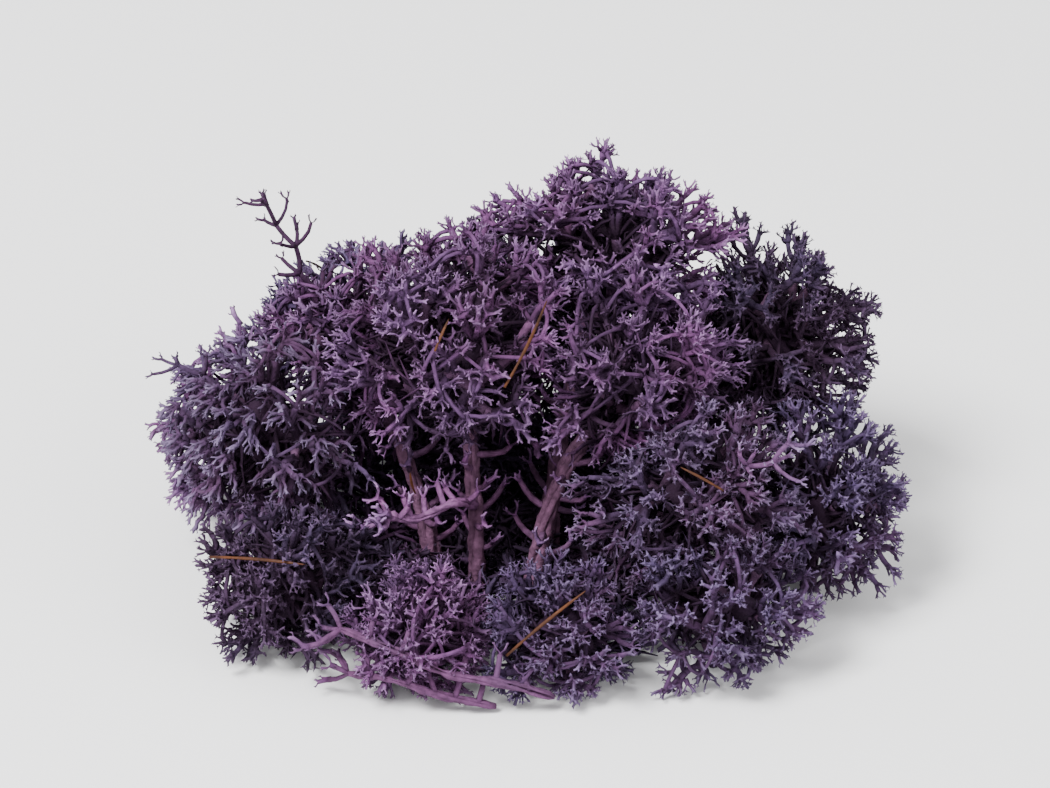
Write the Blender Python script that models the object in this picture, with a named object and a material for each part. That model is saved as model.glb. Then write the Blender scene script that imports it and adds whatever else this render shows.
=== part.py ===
# A clump of dyed reindeer moss: rounded heads of forked lichen twigs, packed side by side.
# The four heads of the dome stand on bare stems, and a few dry spruce needles are caught in the twigs.
# Metres, +Z up. The origin is on the surface below the clump, and the long, open side faces -Y.

import math
import random

import bmesh
import bpy
from mathutils import Matrix, Vector, noise

MM = 0.001

# Driving dimensions
CLUMP_SCALE = 1.0
CLUMP_SHIFT = (0.59, -3.82, 0)  # millimetres, from where the heads are measured to the middle of the clump
CORE_SHARE = 0.36         # the dense middle of a head, as a share of the twigs' reach
CROWDING = 0.42           # how much the sprigs crowd on a head's outer side: 0 is even all round
LUMPS = 0.16              # how uneven a head's outline is, as a share of its radius
LUMP_SIZE = 9 * MM
STEM_SHARE = 0.62         # where a sprig's stem forks
FORK_SHARE = 0.84         # where its three branches fork again
TIP_SHARES = (0.93, 1.0)  # how far the last tips reach
STEM_WIDTH = 0.75 * MM    # widths are from a twig's middle to its corners
FORK_WIDTH = 0.60 * MM
AXIL_RISE = 0.45          # height of the point between the branches, as a share of the twig's width
CELL_ANGLE = math.radians(36)    # across a root face where the sprigs are even all round
FORK_SPREAD = math.radians(19)   # for such a face, and less where the sprigs crowd
TIP_SPREAD = math.radians(9)
STEM_PLAY = (0.92, 1.05)  # how much stems, branches and their spreads vary from one to the next
BRANCH_PLAY = (0.95, 1.03)
FORK_PLAY = (0.8, 1.08)
TIP_PLAY = (0.75, 1.2)
LEAST_REACH = 7.0 * MM    # a sprig shorter than this is left off
LEAST_STEP = 1.2 * MM     # the shortest branch or tip
WALL_CLEARANCE = 0.85 * MM
SEAT_GAP = 0.3 * MM       # between a twig's end and what it touches
SEAT_WIDTH = 1.1 * MM
FOOT_WIDTH = 2.0 * MM
TRUNK_NECK = 1.9 * MM
TRUNK_WAIST = 1.25 * MM
TRUNK_BASE = 3.0 * MM
TRUNK_KNEE = 0.45         # height of the point that a trunk bends round, as a share of its head's height
TRUNK_CLEAR = math.cos(math.radians(28))  # no branch grows nearer to a trunk than this
TRUNK_STEPS = 6
STRAY_WIDTH = 0.65 * MM
STRAY_JOINT = 6.5 * MM    # from one fork of a stray sprig to the next
STRAY_TWIG = 4.0 * MM
STRAY_BEND = 0.35
STRAY_LEANS = (0.7, 1.1)  # how far its side twigs lean out
STRAY_TIP_LEAN = 0.8
STRAY_PLAY = (0.8, 1.2)
NEEDLE_LENGTH = 15 * MM
NEEDLE_WIDTH = 0.55 * MM
NEEDLE_SAG = 0.9 * MM
NEEDLE_SHARES = (0.55, 0.9, 1.0, 1.0, 0.9, 0.65, 0.2)  # its widths from foot to tip
NEEDLE_ROOM = 1.6 * MM    # other twigs stop this far from a needle's middle line
WELD = 0.001 * MM

# Each head's centre and radius in millimetres, and the dye's tone on it
HEADS = {
    "head_dome_front": ((-10, 0, 38), 21, "plum"),
    "head_dome_right": ((14, -3, 35), 18, "plum"),
    "head_dome_top": ((12, 18, 43), 20, "orchid"),
    "head_dome_left": ((-25, 12, 28), 17.5, "plum"),
    "head_left": ((-39, -1, 24), 17, "lavender"),
    "head_back_right": ((37, 17, 30), 18, "dusk"),
    "head_right_front": ((24, -16, 22), 17.5, "lavender"),
    "head_low_left": ((-37, -21, 10), 14.5, "dusk"),
    "head_low_front_right": ((28, -27, 11), 15, "violet"),
    "head_low_front": ((5, -31, 8), 12.5, "violet"),
    "head_low_front_left": ((-16, -32, 8), 12.5, "orchid"),
    "head_low_right": ((43, -6, 15), 17, "violet"),
    "head_back": ((-1, 32, 25), 19, "dusk"),
    "head_back_left": ((-26, 30, 21), 17.5, "violet"),
    "head_low_back_left": ((-43, 17, 13), 15.5, "plum"),
    "head_low_back_right": ((27, 33, 15), 17, "plum"),
    "head_inner": ((-8, 15, 15), 10, "dusk"),
}
# The open space under the dome, where only bare stems run, and where each stem stands
HOLLOW = ((-6, -11, 14), 11)
TRUNK_FEET = {
    "head_dome_front": (-8, -7),
    "head_dome_right": (1, -8),
    "head_dome_top": (3, 2),
    "head_dome_left": (-15, -2),
}
HEART = (0, 4, 8)  # the middle of the clump, which the heads' outer sides look away from
LOW_HEAD_TOP = 15  # heads with centres up to this height stand on the surface

# Sprigs that stray out of a head: the way from the head's centre, and how far they run from it
STRAYS = {
    "head_dome_left": ((-0.47, 0.2, 0.86), 35),
    "head_right_front": ((0.66, -0.35, 0.66), 26),
    "head_left": ((-0.74, 0.18, 0.64), 23),
}

# The head that each needle lies on, the way to it from the head's centre, and the way that it points
NEEDLES = {
    "needle_dome": ("head_dome_front", (0.50, -0.70, 0.52), (0.5, 0.1, 0.6)),
    "needle_left": ("head_low_left", (-0.30, -0.60, 0.75), (0.9, -0.3, 0.1)),
    "needle_front": ("head_low_front", (-0.25, -0.75, 0.65), (0.8, 0.35, 0.5)),
}

TONES = {  # colour, roughness
    "plum": ((0.115, 0.055, 0.135), 0.8),
    "orchid": ((0.165, 0.085, 0.195), 0.8),
    "lavender": ((0.150, 0.110, 0.215), 0.8),
    "violet": ((0.095, 0.065, 0.155), 0.8),
    "dusk": ((0.060, 0.038, 0.078), 0.85),
    "dry_needle": ((0.310, 0.105, 0.030), 0.55),
}


def clear_scene():
    for item in list(bpy.data.objects):
        bpy.data.objects.remove(item)


def material(tone):
    made = bpy.data.materials.get(tone)
    if made is None:
        colour, roughness = TONES[tone]
        made = bpy.data.materials.new(tone)
        made.use_nodes = True
        shader = made.node_tree.nodes["Principled BSDF"]
        shader.inputs["Base Color"].default_value = (*colour, 1)
        shader.inputs["Roughness"].default_value = roughness
        shader.inputs["Metallic"].default_value = 0
    return made


def place_of(millimetres):
    return (Vector(millimetres) + Vector(CLUMP_SHIFT)) * MM * CLUMP_SCALE


def cells():
    # The centre and the radius of each head and of the hollow, in metres.
    found = {}
    for name, (centre, radius, _) in HEADS.items():
        found[name] = (place_of(centre), radius * MM * CLUMP_SCALE)
    found["hollow"] = (place_of(HOLLOW[0]), HOLLOW[1] * MM * CLUMP_SCALE)
    return found


CELLS = cells()


def wall(name, other):
    # The direction from one head to another, and the distance along it to the flat wall between them.
    centre, radius = CELLS[name]
    other_centre, other_radius = CELLS[other]
    across = other_centre - centre
    distance = (across.length_squared + radius**2 - other_radius**2) / (2 * across.length)
    return across.normalized(), distance


def outer_way(name):
    return (CELLS[name][0] - place_of(HEART)).normalized()


def needle_line(name):
    # The points of a needle's middle line, bent a little over the head that it lies on.
    head, way, along = NEEDLES[name]
    centre, radius = CELLS[head]
    out = Vector(way).normalized()
    run = Vector(along)
    run = (run - run.dot(out) * out).normalized()
    steps = len(NEEDLE_SHARES) - 1
    line = []
    for step in range(steps + 1):
        share = 2 * step / steps - 1
        line.append(centre + out * (radius - NEEDLE_SAG * share**2) + run * share * NEEDLE_LENGTH / 2)
    return line


def needle_gap(place):
    return min((place - spot).length for name in NEEDLES for spot in needle_line(name)) - NEEDLE_ROOM


def reach(name, direction, farthest=None):
    # How far a twig may run from its head's centre: to the head's rounded outline, the walls between heads,
    # the surface below, or the underside of a needle.
    centre, radius = CELLS[name]
    lump_seed = Vector(HEADS[name][0])
    limit = farthest or radius * (1 + LUMPS * noise.noise(direction * radius / LUMP_SIZE + lump_seed))
    for other in CELLS:
        if other == name:
            continue
        across, distance = wall(name, other)
        rate = direction.dot(across)
        if rate > 0:
            limit = min(limit, (distance - WALL_CLEARANCE) / rate)
    if direction.z < 0:
        limit = min(limit, (centre.z - WALL_CLEARANCE) / -direction.z)
    while needle_gap(centre + direction * limit) < 0:
        limit -= LEAST_STEP / 2
    return limit


def extrude_to(mesh, face, place, direction, width):
    # Draws a face out into a twig with a flat end, centred on place, that looks along direction.
    cap = bmesh.ops.extrude_discrete_faces(mesh, faces=[face])["faces"][0]
    cap.normal_update()
    middle = cap.calc_center_median()
    turn = cap.normal.rotation_difference(direction)
    for corner in cap.verts:
        offset = turn @ (corner.co - middle)
        offset -= offset.dot(direction) * direction
        corner.co = place + offset.normalized() * width
    cap.normal_update()
    return cap


def fork(mesh, cap, direction, width):
    # Splits a twig's end into three faces round a raised point, each with the way in which it leans.
    split = bmesh.ops.poke(mesh, faces=[cap])
    split["verts"][0].co += direction * width * AXIL_RISE
    leaning = []
    for face in split["faces"]:
        face.normal_update()
        lean = face.normal - face.normal.dot(direction) * direction
        leaning.append((face, lean.normalized()))
    return leaning


def spike(mesh, face, place):
    bmesh.ops.poke(mesh, faces=[face])["verts"][0].co = place


def lean_over(direction, lean, angle):
    return direction * math.cos(angle) + lean * math.sin(angle)


def grow_sprig(mesh, name, face, direction, trunk_way, draw):
    # One stem that forks in three, and each branch in three tips, all inside the stem's share of the head.
    centre = CELLS[name][0]
    corners = [(corner.co - centre).normalized() for corner in face.verts]
    crowd = sum(corners[side - 1].angle(corners[side]) for side in range(3)) / 3 / CELL_ANGLE
    stem = reach(name, direction) * STEM_SHARE * draw.uniform(*STEM_PLAY)
    cap = extrude_to(mesh, face, centre + direction * stem, direction, STEM_WIDTH)
    for side, lean in fork(mesh, cap, direction, STEM_WIDTH):
        branch = lean_over(direction, lean, FORK_SPREAD * crowd * draw.uniform(*FORK_PLAY))
        length = reach(name, branch) * FORK_SHARE * draw.uniform(*BRANCH_PLAY)
        if length < stem + LEAST_STEP or trunk_way.dot(branch) > TRUNK_CLEAR:
            continue
        branch_cap = extrude_to(mesh, side, centre + branch * length, branch, FORK_WIDTH)
        for tip_side, tip_lean in fork(mesh, branch_cap, branch, FORK_WIDTH):
            tip = lean_over(branch, tip_lean, TIP_SPREAD * crowd * draw.uniform(*TIP_PLAY))
            tip_length = reach(name, tip) * draw.uniform(*TIP_SHARES)
            if tip_length > length + LEAST_STEP and trunk_way.dot(tip) < TRUNK_CLEAR:
                spike(mesh, tip_side, centre + tip * tip_length)


def direction_of(face, name):
    return (face.calc_center_median() - CELLS[name][0]).normalized()


def nearest_face(faces, name, direction):
    return max(faces, key=lambda face: direction_of(face, name).dot(direction))


def core(name, way, draw):
    # The dense middle of a head. Its faces crowd on its outer side, and one main corner looks along way.
    mesh = bmesh.new()
    made = bmesh.ops.create_icosphere(mesh, subdivisions=2, radius=1)
    pole = next(corner for corner in made["verts"] if len(corner.link_edges) == 5)
    shift = outer_way(name) * CROWDING
    along = way.dot(shift)
    target = way * (along + math.sqrt(along**2 - shift.length_squared + 1)) - shift
    turn = Matrix.Rotation(draw.uniform(0, math.tau), 3, target)
    turn @= pole.co.normalized().rotation_difference(target).to_matrix()
    for corner in made["verts"]:
        out = (turn @ corner.co.normalized() + shift).normalized()
        corner.co = CELLS[name][0] + out * reach(name, out) * CORE_SHARE
    mesh.normal_update()
    return mesh, pole


def trunk_knee(name):
    # The point that a trunk bends round on its way down, straight above its foot.
    foot = place_of((*TRUNK_FEET[name], 0))
    return Vector((foot.x, foot.y, CELLS[name][0].z * TRUNK_KNEE))


def stem_way(name):
    # The way in which a head's own stem leaves it.
    centre = CELLS[name][0]
    if name in TRUNK_FEET:
        return (trunk_knee(name) - centre).normalized()
    return Vector((0, 0, -1))


def open_root(mesh, pole):
    # The five faces round a corner of the core become one, for a stem to be drawn out of.
    before = set(mesh.faces)
    bmesh.ops.dissolve_verts(mesh, verts=[pole])
    root = next(face for face in mesh.faces if face not in before)
    root.normal_update()
    return root


def grow_trunk(mesh, name, root):
    # A bare stem down to its flat foot: bowed, narrow in the middle and wider at both ends.
    knee = trunk_knee(name)
    foot = Vector((knee.x, knee.y, 0))
    start = root.calc_center_median() + stem_way(name) * TRUNK_NECK
    for step in range(TRUNK_STEPS + 1):
        share = step / TRUNK_STEPS
        place = start * (1 - share) ** 2 + knee * 2 * share * (1 - share) + foot * share**2
        along = ((knee - start) * (1 - share) + (foot - knee) * share).normalized()
        end_width = TRUNK_NECK if share < 0.5 else TRUNK_BASE
        width = TRUNK_WAIST + (end_width - TRUNK_WAIST) * (2 * share - 1) ** 2
        root = extrude_to(mesh, root, place, along, width)


def grow_foot(mesh, name, root):
    # The torn end of a low head's stem, flat on the surface under the head.
    centre = CELLS[name][0]
    extrude_to(mesh, root, Vector((centre.x, centre.y, 0)), stem_way(name), FOOT_WIDTH)


def meeting_is_clear(name, other):
    # Whether the straight line between two heads' centres crosses their wall clear of every other head.
    across, distance = wall(name, other)
    if distance > CELLS[name][1]:
        return False
    spot = across * distance
    others = [wall(name, third) for third in CELLS if third not in (name, other)]
    return all(spot.dot(way) < far - 2 * SEAT_WIDTH for way, far in others)


def leaning_pairs():
    # Every head after the first leans on the nearest earlier head that it meets.
    pairs = []
    names = list(HEADS)
    for count, name in enumerate(names):
        met = [other for other in names[:count] if meeting_is_clear(name, other)]
        if met:
            nearest = min(met, key=lambda other: (CELLS[other][0] - CELLS[name][0]).length)
            pairs.append((name, nearest))
        elif count:
            print(name, "leans on nothing")
    return pairs


PAIRS = leaning_pairs()


def seats(name):
    # The way and the distance to each thing that the head touches: the heads next to it and its needle.
    found = []
    for pair in PAIRS:
        if name in pair:
            across, distance = wall(name, pair[0] if pair[1] == name else pair[1])
            found.append((across, distance - SEAT_GAP / 2))
    for head, way, _ in NEEDLES.values():
        if head == name:
            found.append((Vector(way).normalized(), CELLS[name][1] - NEEDLE_WIDTH - SEAT_GAP))
    return found


def grow_seats(mesh, name, roots):
    # Stout plain twigs, each with a flat end that presses on a neighbour or holds a needle.
    for way, distance in seats(name):
        if not roots:
            break
        face = nearest_face(roots, name, way)
        roots.remove(face)
        extrude_to(mesh, face, CELLS[name][0] + way * distance, way, SEAT_WIDTH)


def grow_stray(mesh, name, roots, draw):
    # A long thin sprig that leaves the head, with two side twigs wherever its main stem bends.
    way, farthest = STRAYS[name]
    out = Vector(way).normalized()
    centre, radius = CELLS[name]
    face = nearest_face(roots, name, out)
    roots.remove(face)
    place = centre + out * radius * STEM_SHARE
    end = reach(name, out, farthest * MM * CLUMP_SCALE)
    cap = extrude_to(mesh, face, place, out, STRAY_WIDTH)
    heading = out
    for joint in range(round((end - radius * STEM_SHARE) / STRAY_JOINT)):
        sides = fork(mesh, cap, heading, STRAY_WIDTH)
        main = sides[joint % 3]
        for side, lean in sides:
            if side is not main[0]:
                twig = (heading + lean * draw.uniform(*STRAY_LEANS)).normalized()
                spike(mesh, side, place + twig * STRAY_TWIG * draw.uniform(*STRAY_PLAY))
        heading = (out + main[1] * STRAY_BEND).normalized()
        place = place + heading * STRAY_JOINT
        cap = extrude_to(mesh, main[0], place, heading, STRAY_WIDTH)
    for side, lean in fork(mesh, cap, heading, STRAY_WIDTH):
        spike(mesh, side, place + (heading + lean * STRAY_TIP_LEAN).normalized() * STRAY_TWIG)


def make_object(mesh, name, tone):
    data = bpy.data.meshes.new(name)
    bmesh.ops.triangulate(mesh, faces=mesh.faces[:])
    mesh.to_mesh(data)
    mesh.free()
    data.materials.append(material(tone))
    made = bpy.data.objects.new(name, data)
    group.objects.link(made)
    return made


def make_head(name, seed):
    draw = random.Random(seed)
    way = stem_way(name)
    mesh, pole = core(name, way, draw)
    roots = [face for face in mesh.faces if all(len(corner.link_edges) == 6 for corner in face.verts)]
    if name in TRUNK_FEET:
        grow_trunk(mesh, name, open_root(mesh, pole))
    elif HEADS[name][0][2] <= LOW_HEAD_TOP:
        grow_foot(mesh, name, open_root(mesh, pole))
    else:
        way = Vector((0, 0, 0))
    grow_seats(mesh, name, roots)
    if name in STRAYS:
        grow_stray(mesh, name, roots, draw)
    for face in roots:
        direction = direction_of(face, name)
        if reach(name, direction) > LEAST_REACH:
            grow_sprig(mesh, name, face, direction, way, draw)
    return make_object(mesh, name, HEADS[name][2])


def make_needle(name):
    # A dry spruce needle: a bent four-sided rod with a blunt foot and a sharp tip.
    line = needle_line(name)
    curve = bpy.data.curves.new(name, "CURVE")
    curve.dimensions = "3D"
    curve.bevel_depth = NEEDLE_WIDTH
    curve.bevel_resolution = 0
    curve.use_fill_caps = True
    spline = curve.splines.new("POLY")
    spline.points.add(len(line) - 1)
    for spot, place, share in zip(spline.points, line, NEEDLE_SHARES):
        spot.co = (*place, 1)
        spot.radius = share
    rod = bpy.data.objects.new(name + "_curve", curve)
    group.objects.link(rod)
    bpy.context.view_layer.update()
    data = bpy.data.meshes.new_from_object(rod.evaluated_get(bpy.context.evaluated_depsgraph_get()))
    bpy.data.objects.remove(rod)
    mesh = bmesh.new()
    mesh.from_mesh(data)
    bmesh.ops.remove_doubles(mesh, verts=mesh.verts[:], dist=WELD)
    return make_object(mesh, name, "dry_needle")


clear_scene()
group = bpy.data.collections.new("reindeer_moss_clump")
bpy.context.scene.collection.children.link(group)
for number, head_name in enumerate(HEADS):
    make_head(head_name, number)
for needle_name in NEEDLES:
    make_needle(needle_name)
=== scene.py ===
from collections import namedtuple
import math
import random

import bmesh
import bpy
import numpy as np
from mathutils import Matrix, Vector, noise


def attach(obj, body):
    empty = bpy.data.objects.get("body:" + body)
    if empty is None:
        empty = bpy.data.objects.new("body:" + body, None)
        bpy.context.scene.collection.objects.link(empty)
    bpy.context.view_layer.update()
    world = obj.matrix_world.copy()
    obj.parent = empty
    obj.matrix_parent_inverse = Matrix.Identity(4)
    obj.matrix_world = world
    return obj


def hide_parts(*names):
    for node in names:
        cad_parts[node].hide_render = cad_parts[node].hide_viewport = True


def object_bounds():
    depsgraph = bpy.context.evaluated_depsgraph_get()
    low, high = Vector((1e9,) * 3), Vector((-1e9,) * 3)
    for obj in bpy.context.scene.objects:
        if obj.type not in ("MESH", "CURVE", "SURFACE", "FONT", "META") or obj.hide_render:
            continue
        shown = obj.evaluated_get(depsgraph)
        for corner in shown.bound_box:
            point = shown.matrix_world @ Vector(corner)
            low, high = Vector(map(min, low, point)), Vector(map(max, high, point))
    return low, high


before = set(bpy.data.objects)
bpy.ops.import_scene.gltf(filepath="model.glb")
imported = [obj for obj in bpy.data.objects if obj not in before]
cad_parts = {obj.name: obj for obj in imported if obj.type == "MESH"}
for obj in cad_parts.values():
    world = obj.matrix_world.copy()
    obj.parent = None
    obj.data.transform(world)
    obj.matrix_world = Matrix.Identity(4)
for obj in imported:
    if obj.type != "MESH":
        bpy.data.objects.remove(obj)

mm = 0.001
up = Vector((0, 0, 1))
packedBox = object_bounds()

clump = {  # millimetres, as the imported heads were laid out
    "shift": (0.59, -3.82, 0),
    "heart": (0, 4, 8),  # the heads' outer sides look away from here
    "hollow": ((-6, -11, 14), 11),  # the open space under the dome
    "dent": ((-13, -52, 3), 11),  # in front, where two bare stems lie
    "lumps": 0.16,
    "lumpSize": 9,
    "blend": 4.4,  # how softly neighbouring heads run into each other
    "probe": (0.5, 1.3, 41),  # the skin is looked for from and to these radii, in so many steps
    "covered": 0.76,  # a way that ends below this share of the skin ends against another head
    "overlap": 1.4,  # how far twigs hook into the next head
    "floorGap": 0.3,
    "boxGap": 1.0,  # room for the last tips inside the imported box
}

# where each head is, its dye, the habit that its twigs grow in, and how much paler it is, or below 0, darker
Head = namedtuple("Head", "centre radius dye habit paler", defaults=(0,))
heads = {
    "head_dome_front": Head((-10, 0, 38), 21, "plum", "open"),
    "head_dome_right": Head((14, -3, 35), 18, "plum", "open"),
    "head_dome_top": Head((12, 18, 43), 20, "orchid", "open"),
    "head_dome_left": Head((-25, 12, 28), 17.5, "plum", "open"),
    "head_left": Head((-39, -1, 24), 17, "lavender", "hanging"),
    "head_back_right": Head((37, 17, 30), 18, "dusk", "dense"),
    "head_right_front": Head((24, -16, 22), 17.5, "lavender", "dense"),
    "head_low_left": Head((-37, -21, 10), 14.5, "dusk", "dense"),
    "head_low_front_right": Head((28, -27, 11), 15, "violet", "dense"),
    "head_low_front": Head((5, -31, 8), 12.5, "violet", "dense"),
    "head_low_front_left": Head((-16, -32, 8), 12.5, "orchid", "dense", -0.22),
    "head_low_right": Head((43, -6, 15), 17, "violet", "dense"),
    "head_back": Head((-1, 32, 25), 19, "dusk", "dense"),
    "head_back_left": Head((-26, 30, 21), 17.5, "violet", "open"),
    "head_low_back_left": Head((-43, 17, 13), 15.5, "plum", "hanging"),
    "head_low_back_right": Head((27, 33, 15), 17, "plum", "open"),
    "head_inner": Head((-8, 15, 15), 10, "dusk", "dense"),
}

# how far apart the sprigs are, how many are kept below, arcs between limbs, droop, and the kinds of sprig
Habit = namedtuple("Habit", "spacing lowShare arcs droop kinds")
habits = {
    "open": Habit(2.55, 0.5, 90, 0.0, ("fork", "fork", "fork", "crown")),
    "dense": Habit(2.4, 0.7, 25, 0.0, ("crown", "crown", "fork")),
    "hanging": Habit(2.5, 0.8, 30, 0.9, ("worm", "worm", "fork")),
}

trunks = {  # where the dome's bare stems stand, and their thickness
    "feet": {
        "head_dome_front": (-8, -7),
        "head_dome_right": (1, -8),
        "head_dome_top": (3, 2),
        "head_dome_left": (-15, -2),
    },
    "kneeShare": 0.45,
    "lowHeadTop": 15,
    "baseRadius": 1.9,
    "waistRadius": 1.15,
    "lowFlare": 0.15,  # the low heads' torn stems hardly widen at the ground
    "steps": 44,
    "strands": 4,  # a stem is a bundle of strands that wind round each other
    "strandRadius": 0.56,  # as a share of the bundle's
    "strandTurns": 0.55,
    "strandWave": (0.25, 2.3),  # how far a strand swings out and in, and how often
    "rough": ((0.42, 0.34), (1.9, 0.16)),  # how close and how high the skin's knots and its wrinkles are
    "skin": ((0.1, 0.2), (0.5, 1.0)),  # tone and bareness of a low head's stem, and of one of the dome's
    "twigs": 9,  # short side twigs on each of the dome's stems
    "twigSpan": (0.25, 0.6),  # where they start, and the share of the stem that they take up
    "twigTurn": 2.4,
    "twigLength": (2.5, 7.0),
    "twigRadius": (0.6, 0.4),
}


def spotOf(millimetres):
    return np.array(millimetres, float) + clump["shift"]


cells = {name: (spotOf(head.centre), head.radius) for name, head in heads.items()}
for space in ("hollow", "dent"):
    cells[space] = (spotOf(clump[space][0]), clump[space][1])
headSpots = np.array([cells[name][0] for name in heads])
headSizes = np.array([cells[name][1] for name in heads])


def unit(way):
    way = np.asarray(way, float)
    return way / np.maximum(np.linalg.norm(way, axis=-1, keepdims=True), 1e-9)


def newObject(name, data):
    made = bpy.data.objects.new(name, data)
    bpy.context.scene.collection.objects.link(made)
    return made


def scatter(draw, spread):
    return np.array([draw.gauss(0, spread) for _ in range(3)])


def outerWay(name):
    return unit(cells[name][0] - spotOf(clump["heart"]))


def cappedBy(limit, rate, room):
    # shortens the ways that run towards a wall with this much room before it
    return np.where(rate > 0, np.minimum(limit, room / np.maximum(rate, 1e-6)), limit)


def reachOf(name, ways):
    # how far twigs may run from a head's centre each way, up to the clump's lumpy skin, the next heads and
    # the ground, and which ways end against another head
    centre, radius = cells[name]
    seed = Vector(heads[name].centre)
    bump = [noise.noise(Vector(way) * radius / clump["lumpSize"] + seed) for way in ways]
    runs = np.linspace(*clump["probe"]) * radius
    spots = centre + ways[:, None] * runs[None, :, None]
    gaps = np.linalg.norm(spots[:, :, None] - headSpots, axis=3) - headSizes
    soft = -clump["blend"] * np.log(np.exp(-gaps / clump["blend"]).sum(axis=2))
    first = np.argmax(soft > 0, axis=1)
    first[soft[:, -1] <= 0] = len(runs) - 1
    skin = runs[first] * (1 + clump["lumps"] * np.array(bump))
    limit = skin.copy()
    for other, (there, size) in cells.items():
        if other != name:
            across = there - centre
            gap = np.linalg.norm(across)
            wall = (gap**2 + radius**2 - size**2) / (2 * gap)
            hook = clump["overlap"] if other in heads else 0
            limit = cappedBy(limit, ways @ (across / gap), wall + hook)
    inside = limit < skin * clump["covered"]
    limit = cappedBy(limit, -ways[:, 2], centre[2] - clump["floorGap"])
    low, high = np.array(packedBox[0]) / mm, np.array(packedBox[1]) / mm
    for axis in range(3):
        limit = cappedBy(limit, ways[:, axis], high[axis] - clump["boxGap"] - centre[axis])
        if axis < 2:
            limit = cappedBy(limit, -ways[:, axis], centre[axis] - low[axis] - clump["boxGap"])
    return limit, inside


def evenWays(count, spin):
    # directions spread evenly over a sphere, along a spiral
    steps = np.arange(count) + 0.5
    height = 1 - 2 * steps / count
    turn = steps * math.pi * (3 - math.sqrt(5)) + spin
    flat = np.sqrt(1 - height**2)
    return np.stack([flat * np.cos(turn), flat * np.sin(turn), height], axis=1)


sprigStyle = {  # millimetres; each variant is modelled once, then copied
    "height": 3.0,  # from the foot to the tips
    "stretch": (0.7, 1.25),  # how much smaller or bigger a copy may be
    "lean": 0.16,
    "crown": {
        "variants": 6, "sides": (4, 5, 4, 3, 4, 3), "stem": 0.8, "radius": 0.42,
        "branch": 1.3, "spread": 0.95, "tip": 0.75, "splay": 0.16},
    "fork": {
        "variants": 8, "stem": 0.7, "radius": 0.45,
        "branch": 1.4, "spread": 1.15, "tip": 0.95, "splay": 0.9},
    "worm": {
        "variants": 5, "foot": 0.5, "bows": ((0.45, 0.92), (0.1, 1.0), (-0.45, 1.05)), "stem": 1.6,
        "radius": 0.44, "branch": 1.1, "spread": 0.5, "tip": 0.8, "splay": 0.6},
    "prong": {"variants": 5, "stem": 1.0, "radius": 0.42, "branch": 1.5, "spread": 1.0, "tip": 0.6},
}


def pickFaces(piece, spots):
    # selects the faces whose middles are nearest to the spots, and returns the middle of them all
    mesh = bmesh.from_edit_mesh(piece.data)
    for part in (*mesh.faces, *mesh.edges, *mesh.verts):
        part.select = False
    picked = [min(mesh.faces, key=lambda each: (each.calc_center_median() - spot).length) for spot in spots]
    for face in picked:
        face.select = True
    bmesh.update_edit_mesh(piece.data)
    return sum((face.calc_center_median() for face in picked), Vector()) / len(picked)


def pickedSpots(piece):
    mesh = bmesh.from_edit_mesh(piece.data)
    return [face.calc_center_median() for face in mesh.faces if face.select]


def drawTwig(piece, spots, move, shrink):
    # draws the faces at the spots out into one twig, and returns the middles of its end's faces
    pickFaces(piece, spots)
    bpy.ops.mesh.extrude_region_move(TRANSFORM_OT_translate={"value": move})
    ends = pickedSpots(piece)
    middle = sum(ends, Vector()) / len(ends)
    bpy.ops.transform.resize(value=(shrink, shrink, shrink), center_override=middle)
    return pickedSpots(piece)


def forkAt(piece, spots, rise=0.0):
    # splits a twig's end, and returns its middle and the middles of the new faces
    middle = pickFaces(piece, spots)
    bpy.ops.mesh.poke(offset=rise)
    return middle, pickedSpots(piece)


def halvesAt(piece, spots):
    # splits a four-sided end in two: each half's faces, and the way that it leans
    middle, quarters = forkAt(piece, spots)
    quarters.sort(key=lambda spot: math.atan2(spot.y - middle.y, spot.x - middle.x))
    return [(half, (half[0] + half[1] - middle * 2).normalized()) for half in (quarters[:2], quarters[2:])]


def startSprig(name, sides, radius, stem):
    bpy.ops.object.select_all(action="DESELECT")
    bpy.ops.mesh.primitive_cone_add(
        vertices=sides, radius1=radius * 1.1, radius2=radius, depth=stem, location=(0, 0, stem / 2))
    piece = bpy.context.active_object
    piece.name = name
    bpy.ops.object.mode_set(mode="EDIT")
    return piece


def modelCrown(number, style, draw):
    # a short stem that forks into three or four, each with a crown of spiky tips
    sides = style["sides"][number]
    stem = style["stem"] * draw.uniform(0.8, 1.2)
    piece = startSprig("crown_%d" % number, sides, style["radius"], stem)
    middle, sidesOfFork = forkAt(piece, [up * stem])
    spare = draw.randrange(len(sidesOfFork)) if sides > 3 else -1
    for index, side in enumerate(sidesOfFork):
        if index == spare:
            continue
        lean = (side - middle).normalized()
        way = (up + lean * style["spread"] * draw.uniform(0.7, 1.4)).normalized()
        length = style["branch"] * draw.uniform(0.7, 1.3)
        elbow = drawTwig(piece, [side], way * length * 0.5, 0.86)
        bent = (way + up * draw.uniform(-0.1, 0.8)).normalized()
        end = drawTwig(piece, elbow, bent * length * 0.5, 1.1)
        forkAt(piece, end, style["splay"])
        bpy.ops.mesh.poke(offset=style["tip"] * draw.uniform(0.6, 1.2))
    return piece


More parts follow.
